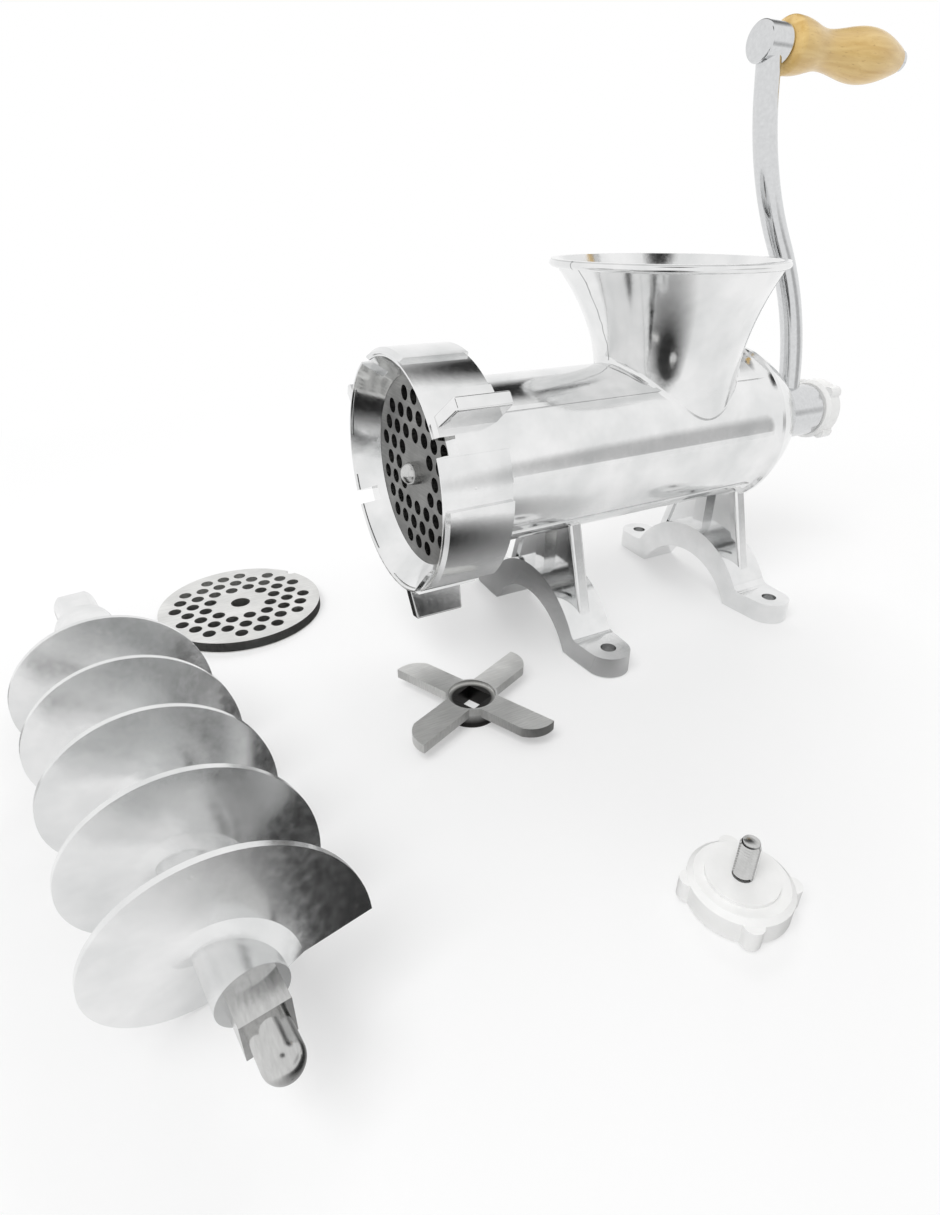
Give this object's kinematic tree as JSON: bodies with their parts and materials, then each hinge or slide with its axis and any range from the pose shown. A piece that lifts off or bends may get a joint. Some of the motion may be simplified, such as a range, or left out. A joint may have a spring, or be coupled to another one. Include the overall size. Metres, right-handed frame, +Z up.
{
  "type": "hand crank meat grinder",
  "caption": "Bolt-down hand crank meat grinder with flared hopper, screw auger, knife, perforated plate, ring nut and S-shaped crank, with loose spare auger, plate, knife and thumb screw.",
  "frame": {"origin": "centre of the four foot bolt holes, on the table", "axes": "+Z up, the barrel lies along Y with the plate towards -Y and the crank towards +Y"},
  "size_m": [0.3728, 0.5287, 0.3134],
  "materials": {
    "cast_aluminium": "polished casting",
    "bright_steel": "machined and ground",
    "plated_steel": "bright plated",
    "varnished_wood": "clear varnish",
    "nylon": "moulded, slightly translucent",
    "black_fibre": "matt"
  },
  "bodies": {
    "housing": {"body_casting": "cast_aluminium", "plate_key_pin": "bright_steel"},
    "drive": {"auger": "cast_aluminium", "auger_stud": "bright_steel", "knife": "bright_steel", "fibre_washer": "black_fibre", "thrust_washers": "bright_steel"},
    "crank": {"crank_arm": "plated_steel", "grip_bolt": "plated_steel"},
    "grip": {"crank_grip": "varnished_wood"},
    "thumb_screw": {"thumb_screw_knob": "nylon", "thumb_screw_stud": "bright_steel"},
    "plate": {"grinding_plate": "bright_steel"},
    "ring": {"ring_nut": "cast_aluminium"},
    "spare_auger_set": {"spare_auger": "cast_aluminium", "spare_auger_stud": "bright_steel", "spare_fibre_washer": "black_fibre", "spare_thrust_washers": "bright_steel"},
    "spare_plate_body": {"spare_plate": "bright_steel"},
    "spare_knife_body": {"spare_knife": "bright_steel"},
    "spare_screw": {"spare_screw_knob": "nylon", "spare_screw_stud": "bright_steel"}
  },
  "joints": [
    {"name": "crank_turn", "type": "hinge", "parent": "housing", "child": "drive", "pos_m": [0, 0, 0.107], "axis": [0, 1, 0], "continuous": true},
    {"name": "crank_pull", "type": "slide", "parent": "drive", "child": "crank", "axis": [0, 1, 0], "range_m": [0, 0.015]},
    {"name": "thumb_screw_turn", "type": "hinge", "parent": "crank", "child": "thumb_screw", "pos_m": [0, 0.14, 0.107], "axis": [0, 1, 0], "range_deg": [0, 4325]},
    {"name": "grip_spin", "type": "hinge", "parent": "crank", "child": "grip", "pos_m": [-0.02714, 0.14, 0.3001], "axis": [0, 1, 0], "continuous": true},
    {"name": "plate_slide", "type": "slide", "parent": "housing", "child": "plate", "axis": [0, -1, 0], "range_m": [0, 0.0241]},
    {"name": "ring_turn", "type": "hinge", "parent": "plate", "child": "ring", "pos_m": [0, -0.14, 0.107], "axis": [0, -1, 0], "range_deg": [0, 2160]},
    {"name": "spare_auger_lift", "type": "slide", "parent": "housing", "child": "spare_auger_set", "axis": [0, 0, 1], "range_m": [0, 0.25]},
    {"name": "spare_plate_lift", "type": "slide", "parent": "housing", "child": "spare_plate_body", "axis": [0, 0, 1], "range_m": [0, 0.25]},
    {"name": "spare_knife_lift", "type": "slide", "parent": "housing", "child": "spare_knife_body", "axis": [0.8139, -0.296, 0.4999], "range_m": [0, 0.3]},
    {"name": "spare_screw_lift", "type": "slide", "parent": "housing", "child": "spare_screw", "axis": [0, 0, 1], "range_m": [0, 0.25]}
  ],
  "couplings": [
    {"joint": "thumb_screw_turn", "follows": "crank_pull", "rad_per_m": 5026.5},
    {"joint": "plate_slide", "follows": "ring_turn", "m_per_rad": 0.00063662}
  ]
}
